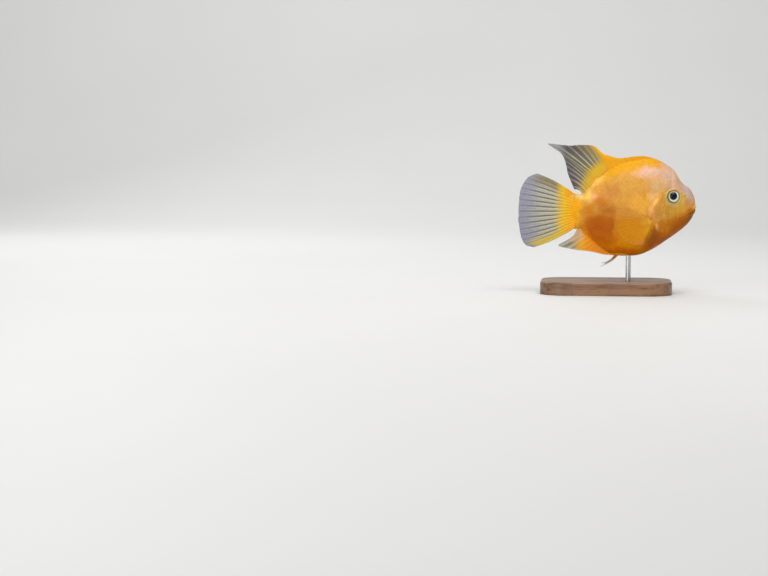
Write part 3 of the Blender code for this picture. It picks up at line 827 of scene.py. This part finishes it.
def fin_sheet(name, rays, spines, rows, line, side, material, node, sheath, sheath_power=3.0, rise=RAY_RISE):
    """A fine fin, whose middle surface line(across, out) gives. Its root has a fleshy sheath, and its spines
    stand lower in their skin than its soft rays do."""
    columns = rays * RAY_COLUMNS
    mesh = bmesh.new()
    bmesh.ops.create_grid(mesh, x_segments=columns, y_segments=rows, size=0.5)
    fin_map = mesh.loops.layers.uv.new("Rays")
    for face in mesh.faces:
        for loop in face.loops:
            column, row = grid_spot(loop.vert, columns, rows)
            loop[fin_map].uv = (column / RAY_COLUMNS, row / rows)
    far = bmesh.ops.extrude_face_region(mesh, geom=mesh.faces[:])["geom"]
    far_points = {item for item in far if isinstance(item, bmesh.types.BMVert)}
    random.seed(len(name))
    reach = [1 - random.uniform(0, FRAYING) for _ in range(rays + 1)]
    for vert in mesh.verts:
        column, row = grid_spot(vert, columns, rows)
        across, out = column / columns, row / rows
        ray = min(int(column / RAY_COLUMNS), rays - 1)
        cell = column / RAY_COLUMNS - ray - 0.5
        height = strands(cell, out, ray >= spines)
        shortfall = (1 - height) * (0.02 if ray < spines else 0.012) * out ** 4
        out_to = out * (reach[ray] - shortfall)
        ray_rise = rise * (0.45 if ray < spines else 1 - 0.62 * out)
        half = MEMBRANE / 2 + height * ray_rise + sheath * (1 - out) ** sheath_power
        half *= 1 - 0.75 * float(ease((out - 0.93) / 0.07))
        x, y, z = line(across, out_to)
        vert.co = placed(x, side * (y + half if vert in far_points else y - half), z)
    bmesh.ops.recalc_face_normals(mesh, faces=mesh.faces[:])
    finished(name, mesh, material, (node,))


def grid_spot(vert, columns, rows):
    """The column and the row of a point of a unit grid."""
    return round((vert.co.x + 0.5) * columns), round((vert.co.y + 0.5) * rows)


def graded(tree, share, colours):
    """Three colours that follow one another from the root to the edge."""
    near, middle, far = colours
    colour = blended(tree, ranged(tree, share, 0.12, 0.5), near, middle)
    return blended(tree, ranged(tree, share, 0.5, 0.95), colour, far)


def fin_material(name, rays, webs, ray_half, clear, paint):
    """Fin colours from root to edge, on the rays and on the webs between them, which are partly clear. The
    rays take up ray_half of their strip on each side, and paint adds the fin's own flesh and tints."""
    made, tree, shader = new_material(
        name, 0.42, Specular_IOR_Level=0.2, Coat_Weight=0.06, Coat_Roughness=0.25)
    uv = add(tree, "ShaderNodeUVMap", uv_map="Rays").outputs[0]
    ray_count, out, _ = parts_of(tree, uv)
    place = object_place(tree)
    wander = ranged(tree, noise_at(tree, place, 90.0), 0.25, 0.75, -0.05, 0.05)
    out_wander = plus(tree, out, wander)
    cell = math_node(tree, "SUBTRACT", math_node(tree, "FRACT", ray_count), 0.5)
    cell = math_node(tree, "ABSOLUTE", cell)
    ray = ranged(tree, cell, ray_half + 0.09, ray_half - 0.06)
    split = times(tree, ranged(tree, cell, 0.07, 0.01), ranged(tree, out, 0.45, 0.75, 0.0, 0.45))
    ray = math_node(tree, "SUBTRACT", ray, split)
    colour = blended(tree, ray, graded(tree, out_wander, webs), graded(tree, out_wander, rays))
    mottle = noise_at(tree, place, 420.0, 4.0)
    colour = blended(tree, ranged(tree, mottle, 0.6, 0.3, 0.0, 0.16), colour, (0.16, 0.13, 0.10))
    colour, fleshy = paint(tree, place, ray_count, out, out_wander, colour)
    paint_with(tree, shader, colour)
    web_share = ranged(tree, mottle, 0.3, 0.7, clear - 0.05, clear + 0.05)
    solid = larger(tree, times(tree, ray, 0.95), fleshy)
    tree.links.new(larger(tree, solid, web_share), shader.inputs["Alpha"])
    joints = math_node(tree, "SINE", times(tree, out, 260.0))
    joints = times(tree, times(tree, joints, ray), ranged(tree, out, 0.2, 0.4))
    grain = plus(tree, times(tree, joints, 0.5), mottle)
    bumped(tree, shader, grain, 0.4, 0.08)
    return made


def dorsal_line(across, out):
    """The dorsal's rays fan out and bow a little forwards."""
    root_x, edge_x, edge_z = along(DORSAL, across)
    root_z = body_at_x(root_x)[0] - ROOT_SUNK
    lean = 1.6 * math.sin(math.pi * across) * across * out ** 2
    run, climb = edge_x - root_x, edge_z - root_z
    bow = DORSAL_BOW * across ** 2 * 4 * out * (1 - out) / math.hypot(run, climb)
    return (root_x + run * out + climb * bow, lean, root_z + climb * out - run * bow)


def anal_line(across, out):
    root_x, edge_x, edge_z = along(ANAL, across)
    root_z = body_at_x(root_x)[1] + ROOT_SUNK
    lean = 1.2 * math.sin(math.pi * across) * out ** 2
    return (root_x + (edge_x - root_x) * out, lean, root_z + (edge_z - root_z) * out)


def tail_line(across, out):
    edge_x, edge_z = along(TAIL_EDGE, across)
    root_x, top, low = TAIL_ROOT
    root_z = top + (low - top) * across
    bow = TAIL_BOW * (1 - 2 * across) * 4 * out * (1 - out)
    sweep = TAIL_SWEEP * out ** 2 * (0.7 + 0.3 * math.cos(2 * math.pi * across))
    return (root_x + (edge_x - root_x) * out, sweep, root_z + (edge_z - root_z) * out + bow)


def dorsal_paint(tree, place, ray_count, out, out_wander, colour):
    """Hide climbs over the low spined part and up its last spines. A yellow sheath edges the soft rays."""
    front = ranged(tree, ray_count, 15.0, 13.0)
    sheath = ellipse_distance(tree, place, SHEATH_MIDDLE, SHEATH_HALF, SHEATH_TURN)
    sheath = ranged(tree, sheath, 1.3, 0.45)
    hide = ranged(tree, out_wander, 0.10, 0.03)
    colour = blended(tree, ranged(tree, ray_count, 17.5, 14.5, 0.0, 0.5), colour, (0.46, 0.33, 0.06))
    x = parts_of(tree, place)[0]
    colour = blended(tree, ranged(tree, x, -0.036, -0.050, 0.0, 0.6), colour, (0.46, 0.45, 0.47))
    colour = blended(tree, times(tree, sheath, 0.9), colour, (0.67, 0.42, 0.014))
    colour = blended(tree, larger(tree, front, hide), colour, hide_colour_and_painted_light(tree, place))
    rim = times(tree, front, ranged(tree, out, 0.5, 0.99, 0.0, 0.6))
    rim = times(tree, rim, ranged(tree, ray_count, 9.0, 12.0, 0.4, 1.0))
    return blended(tree, rim, colour, (0.92, 0.56, 0.03)), larger(tree, front, sheath)


def tail_paint(tree, place, ray_count, out, out_wander, colour):
    """Yellow flesh reaches out to an upright border, and along the tail's lower edge nearly to its tip."""
    x = parts_of(tree, place)[0]
    x = plus(tree, x, ranged(tree, noise_at(tree, place, 110.0), 0.25, 0.75, -0.0015, 0.0015))
    across = math_node(tree, "DIVIDE", ray_count, TAIL_RAYS)
    upper = times(tree, ranged(tree, across, 0.22, 0.05), ranged(tree, out, 1.0, 0.7, 0.2, 0.85))
    colour = blended(tree, upper, colour, (0.24, 0.19, 0.08))
    lower = times(tree, ranged(tree, across, 0.78, 0.95), ranged(tree, out, 1.0, 0.8, 0.1, 0.9))
    colour = blended(tree, lower, colour, (0.70, 0.50, 0.03))
    flesh = ranged(tree, x, -0.051, -0.040)
    colour = blended(tree, times(tree, flesh, 0.94), colour, (0.80, 0.48, 0.004))
    near = ranged(tree, x, -0.043, -0.034)
    return blended(tree, near, colour, hide_colour_and_painted_light(tree, place)), flesh


def anal_paint(tree, place, ray_count, out, out_wander, colour):
    """Amber flesh in front, with a pale rim, ends in whitish rays at the tip and a rosy clear patch above."""
    x, _, z = parts_of(tree, place)
    amber = ranged(tree, x, -0.035, -0.023)
    flesh = blended(tree, ranged(tree, x, -0.014, -0.028), (0.98, 0.32, 0.0), (0.90, 0.46, 0.004))
    colour = blended(tree, times(tree, amber, 0.96), colour, flesh)
    height = math_node(tree, "SUBTRACT", z, AXIS_HEIGHT)
    rosy = times(tree, ranged(tree, height, -0.031, -0.027), ranged(tree, x, -0.020, -0.024))
    colour = blended(tree, times(tree, rosy, 0.7), colour, (0.66, 0.46, 0.29))
    near = ranged(tree, out, 0.14, 0.04)
    colour = blended(tree, near, colour, hide_colour_and_painted_light(tree, place))
    rim = times(tree, ranged(tree, out, 0.86, 0.97), ranged(tree, ray_count, 10.0, 7.0, 0.0, 0.75))
    return blended(tree, rim, colour, (0.94, 0.62, 0.20)), larger(tree, near, amber)


DORSAL_LOOK = fin_material(
    "dorsal_membrane", ((0.66, 0.52, 0.20), (0.46, 0.43, 0.34), (0.24, 0.22, 0.22)),
    ((0.34, 0.24, 0.06), (0.15, 0.14, 0.09), (0.085, 0.07, 0.07)), 0.13, 0.90, dorsal_paint)
ANAL_LOOK = fin_material(
    "anal_membrane", ((0.80, 0.50, 0.16), (0.56, 0.52, 0.40), (0.50, 0.53, 0.48)),
    ((0.60, 0.30, 0.08), (0.26, 0.24, 0.14), (0.24, 0.26, 0.19)), 0.22, 0.82, anal_paint)
TAIL_LOOK = fin_material(
    "tail_membrane", ((0.62, 0.54, 0.26), (0.50, 0.47, 0.36), (0.31, 0.31, 0.38)),
    ((0.16, 0.15, 0.06), (0.13, 0.14, 0.13), (0.25, 0.25, 0.32)), 0.34, 0.86, tail_paint)
fin_sheet("dorsal", DORSAL_RAYS, DORSAL_SPINES, 44, dorsal_line, 1, DORSAL_LOOK, "dorsal_fin", 1.3)
fin_sheet("anal", ANAL_RAYS, ANAL_SPINES, 36, anal_line, 1, ANAL_LOOK, "anal_fin", 1.1)
fin_sheet("tail", TAIL_RAYS, 0, 52, tail_line, 1, TAIL_LOOK, "tail_fin", 2.1, 5.0)

# The paired fins: the pectorals fan out over the flanks behind the gill covers, of thin membrane on fine
# branched rays that takes on the hide's ochre, and the pelvics hang folded under the breast as pale strands.
PECTORAL_ROOT = ((39.9, -5.6), (41.9, -12.4))
PECTORAL_EDGE = ((11.5, 4.0), (6.8, -4.5), (6.5, -13.5), (10.5, -22.0), (17.5, -28.5), (25.5, -32.0),
                 (34.0, -31.0))
PECTORAL_RISE = 4.2
PECTORAL_RISE_LENGTH = 8.0
PECTORAL_FLARE = 0.07
PELVIC_FRONT = ((12.0, -41.4), (6.9, -46.4), (0.8, -50.2), (-6.3, -53.5))
PELVIC_REAR = ((8.6, -41.0), (5.2, -45.3), (0.0, -48.8), (-4.6, -49.6))
PELVIC_NOTCH = 0.34
PELVIC_OFFSET = 4.0
PELVIC_SPLAY = 1.8
PECTORAL_RAYS = 13
PELVIC_RAYS = 5


def pectoral_line(across, out):
    (top_x, top_z), (low_x, low_z) = PECTORAL_ROOT
    root_x = top_x + (low_x - top_x) * across
    root_z = top_z + (low_z - top_z) * across
    edge_x, edge_z = along(PECTORAL_EDGE, across)
    x = root_x + (edge_x - root_x) * out
    z = root_z + (edge_z - root_z) * out
    reach = math.hypot(x - root_x, z - root_z)
    rise = PECTORAL_RISE * (1 - math.exp(-reach / PECTORAL_RISE_LENGTH)) + PECTORAL_FLARE * reach
    return (x, flank(root_x, root_z) + 0.25 + rise, z)


def pelvic_line(across, out):
    """The folded fin ends in a fork: its middle rays stop short of its front and rear ones."""
    reach = out * (1 - PELVIC_NOTCH * math.sin(math.pi * across) * out ** 2)
    front = along(PELVIC_FRONT, reach)
    rear = along(PELVIC_REAR, reach)
    y = PELVIC_OFFSET + PELVIC_SPLAY * out
    return (front[0] + (rear[0] - front[0]) * across, y, front[1] + (rear[1] - front[1]) * across)


def pectoral_paint(tree, place, ray_count, out, out_wander, colour):
    """The hide's colour runs up the fleshy root and tints the whole fin, most along its upper rays."""
    near = ranged(tree, out, 0.16, 0.03)
    height = parts_of(tree, place)[2]
    upper = ranged(tree, height, AXIS_HEIGHT - 0.016, AXIS_HEIGHT - 0.001, 0.35, 0.85)
    return blended(tree, larger(tree, near, upper), colour, hide_colour_and_painted_light(tree, place)), near


def pelvic_paint(tree, place, ray_count, out, out_wander, colour):
    """The root is orange as the belly is."""
    near = ranged(tree, out_wander, 0.42, 0.16)
    return blended(tree, near, colour, (0.62, 0.20, 0.006)), near


PECTORAL_LOOK = fin_material(
    "pectoral_membrane", ((0.72, 0.30, 0.002), (0.72, 0.29, 0.002), (0.66, 0.26, 0.002)),
    ((0.76, 0.31, 0.001), (0.76, 0.30, 0.001), (0.66, 0.24, 0.001)), 0.10, 0.66, pectoral_paint)
PELVIC_LOOK = fin_material(
    "pelvic_membrane", ((0.62, 0.28, 0.05), (0.66, 0.56, 0.40), (0.74, 0.70, 0.60)),
    ((0.56, 0.22, 0.02), (0.52, 0.42, 0.28), (0.56, 0.52, 0.42)), 0.3, 0.9, pelvic_paint)
for fin_word, fin_side in SIDES:
    fin_sheet("pectoral_" + fin_word, PECTORAL_RAYS, 0, 36, pectoral_line, fin_side, PECTORAL_LOOK,
              "pectoral_fin_" + fin_word, 0.5, 6.0, 0.12)
    fin_sheet("pelvic_" + fin_word, PELVIC_RAYS, 1, 30, pelvic_line, fin_side, PELVIC_LOOK,
              "pelvic_fin_" + fin_word, 0.4)

# The stand's base: a walnut board with round corners and an eased upper edge, oiled to a satin finish,
# its grain running lengthwise.
BASE_CORNER = 0.024
BASE_EDGE = 0.0016
base_low, base_high = (Vector(corner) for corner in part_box("stand_base"))
base_size = base_high - base_low


def walnut():
    made, tree, shader = new_material("walnut", Coat_Weight=0.15, Coat_Roughness=0.3)
    place = object_place(tree)
    bend = noise_at(tree, place, 14.0, 2.0)
    x, y, z = parts_of(tree, place)
    y = plus(tree, y, times(tree, bend, 0.03))
    lengthwise = add(tree, "ShaderNodeCombineXYZ", {0: times(tree, x, 0.06), 1: y, 2: z}).outputs[0]
    figure = noise_at(tree, lengthwise, 150.0, 6.0)
    pores = noise_at(tree, lengthwise, 1100.0)
    colour = blended(tree, ranged(tree, figure, 0.3, 0.7), (0.10, 0.045, 0.02), (0.30, 0.155, 0.075))
    colour = blended(tree, ranged(tree, pores, 0.42, 0.3, 0.0, 0.6), colour, (0.04, 0.018, 0.01))
    paint_with(tree, shader, colour)
    tree.links.new(ranged(tree, figure, 0.2, 0.8, 0.5, 0.36), shader.inputs["Roughness"])
    bumped(tree, shader, pores, 0.35, 0.15)
    return made


def round_off(mesh, edges, width, segments):
    bmesh.ops.bevel(mesh, geom=edges, offset=width, segments=segments, profile=0.5, affect="EDGES",
                    material=-1)


base_mesh = bmesh.new()
base_middle = Matrix.Translation((base_low + base_high) / 2)
bmesh.ops.create_cube(base_mesh, size=1, matrix=base_middle @ Matrix.Diagonal((*base_size, 1)))
upright = [edge for edge in base_mesh.edges if edge.verts[0].co.xy == edge.verts[1].co.xy]
round_off(base_mesh, upright, BASE_CORNER, 28)
rim = [edge for edge in base_mesh.edges if all(vert.co.z > base_size.z / 2 for vert in edge.verts)]
round_off(base_mesh, rim, BASE_EDGE, 6)
base = finished("display_base", base_mesh, walnut(), ("stand_base",))
base.data.set_sharp_from_angle(angle=math.radians(35))

# The stand's rod: turned steel, brushed round, let into the base and into the fish's belly.
ROD_SIDES = 72
ROD_INTO_BASE = 0.002
ROD_INTO_BELLY = 0.0024
rod_low, rod_high = (Vector(corner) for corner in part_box("stand_rod"))


def brushed_steel():
    made, tree, shader = new_material("brushed_steel", Metallic=1.0)
    place = object_place(tree)
    squeezed = add(tree, "ShaderNodeMapping", {"Vector": place, "Scale": (0.05, 0.05, 1.0)}).outputs[0]
    lines = noise_at(tree, squeezed, 2600.0)
    paint_with(tree, shader, blended(tree, lines, (0.54, 0.54, 0.55), (0.66, 0.66, 0.67)))
    tree.links.new(ranged(tree, lines, 0.3, 0.7, 0.26, 0.36), shader.inputs["Roughness"])
    bumped(tree, shader, lines, 0.12, 0.01)
    return made


rod_mesh = bmesh.new()
rod_radius = (rod_high.x - rod_low.x) / 2
rod_bottom = rod_low.z - ROD_INTO_BASE
rod_top = rod_high.z + ROD_INTO_BELLY
rod_middle = Vector(((rod_low.x + rod_high.x) / 2, 0, (rod_bottom + rod_top) / 2))
bmesh.ops.create_cone(rod_mesh, cap_ends=True, segments=ROD_SIDES, radius1=rod_radius, radius2=rod_radius,
                      depth=rod_top - rod_bottom, matrix=Matrix.Translation(rod_middle))
rod = finished("display_rod", rod_mesh, brushed_steel(), ("stand_rod",))
rod.data.set_sharp_from_angle(angle=math.radians(35))

# The studio: a pale floor that sweeps up behind, a broad soft light overhead as over the water, a fill
# from the camera's side, a weak one from behind and a wash over the backdrop.
FLOOR_HALF = 4.0
SWEEP_START = 1.2
SWEEP_RADIUS = 1.0
FLOOR_DROP = 0.0002
WORLD_COLOUR = (0.87, 0.88, 0.9, 1)
WORLD_STRENGTH = 0.45


def pale_floor():
    made, tree, shader = new_material("pale_floor", 0.6)
    place = object_place(tree)
    cloud = noise_at(tree, place, 3.0)
    paint_with(tree, shader, blended(tree, cloud, (0.66, 0.66, 0.65), (0.70, 0.70, 0.69)))
    return made


floor_mesh = bmesh.new()
bmesh.ops.create_grid(floor_mesh, x_segments=1, y_segments=48, size=0.5)
for vert in floor_mesh.verts:
    run = vert.co.y * 2 * FLOOR_HALF
    bent = min(max(run - SWEEP_START, 0) / SWEEP_RADIUS, math.pi / 2)
    wall = max(run - SWEEP_START - SWEEP_RADIUS * math.pi / 2, 0)
    y = min(run, SWEEP_START) + SWEEP_RADIUS * math.sin(bent)
    z = SWEEP_RADIUS * (1 - math.cos(bent)) + wall - FLOOR_DROP
    vert.co = (vert.co.x * 2 * FLOOR_HALF, y, z)
floor_data = bpy.data.meshes.new("floor")
floor_mesh.to_mesh(floor_data)
floor_mesh.free()
floor_data.shade_smooth()
floor_data.materials.append(pale_floor())
new_object("floor", floor_data)


def soft_light(name, place, size, power, colour=(1, 1, 1), target=(0, 0, AXIS_HEIGHT)):
    light = bpy.data.lights.new(name, "AREA")
    light.shape = "DISK"
    light.size = size
    light.energy = power
    light.color = colour
    made = new_object(name, light)
    made.location = place
    made.rotation_euler = (Vector(target) - Vector(place)).to_track_quat("-Z", "Y").to_euler()


soft_light("overhead", (0.15, -0.4, 1.3), 1.1, 13.5, (1.0, 0.98, 0.95))
soft_light("front_fill", (-0.9, -1.5, 0.5), 1.2, 10)
soft_light("rear_fill", (-0.9, 1.0, 0.9), 0.9, 5)
soft_light("backdrop_wash", (-0.6, 0.7, 2.0), 1.6, 20, target=(-0.6, 2.4, 0.9))
world = bpy.data.worlds.new("studio")
world.use_nodes = True
background = world.node_tree.nodes["Background"]
background.inputs["Color"].default_value = WORLD_COLOUR
background.inputs["Strength"].default_value = WORLD_STRENGTH
bpy.context.scene.world = world
